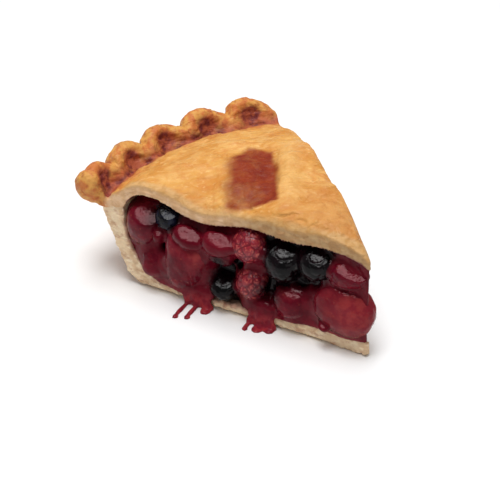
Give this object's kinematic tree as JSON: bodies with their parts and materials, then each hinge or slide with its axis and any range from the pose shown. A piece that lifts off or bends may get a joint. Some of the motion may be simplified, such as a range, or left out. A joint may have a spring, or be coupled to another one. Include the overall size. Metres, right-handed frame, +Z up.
{
  "type": "mixed berry pie slice",
  "caption": "Wedge of two-crust pie with a domed golden lid, a fluted rim and whole berries set in dark red juice, standing on its flat base.",
  "frame": {"origin": "under the middle of the whole slice, on the surface that it stands on", "axes": "+Y from the tip to the rim, along the slice's middle line; +Z up; +X to the right, seen from the tip"},
  "size_m": [0.1006, 0.1302, 0.0555],
  "materials": {
    "top_crust": "baked, lightly glazed",
    "bottom_crust": "baked, matte",
    "gel": "wet, glossy",
    "strawberry": "wet, glossy",
    "raspberry": "wet, glossy",
    "bramble": "wet, glossy",
    "blueberry": "wet, glossy"
  },
  "bodies": {
    "root": {"bottom_crust": "bottom_crust", "top_crust": "top_crust", "filling": "gel", "strawberry_1": "strawberry", "strawberry_2": "strawberry", "strawberry_3": "strawberry", "strawberry_4": "strawberry", "strawberry_5": "strawberry", "strawberry_6": "strawberry", "strawberry_7": "strawberry", "strawberry_8": "strawberry", "strawberry_9": "strawberry", "strawberry_10": "strawberry", "strawberry_11": "strawberry", "raspberry_1": "raspberry", "raspberry_2": "raspberry", "raspberry_3": "raspberry", "raspberry_4": "raspberry", "raspberry_5": "raspberry", "bramble_1": "bramble", "bramble_2": "bramble", "bramble_3": "bramble", "bramble_4": "bramble", "bramble_5": "bramble", "bramble_6": "bramble", "blueberry_1": "blueberry", "blueberry_2": "blueberry", "blueberry_3": "blueberry", "blueberry_4": "blueberry"}
  },
  "joints": []
}
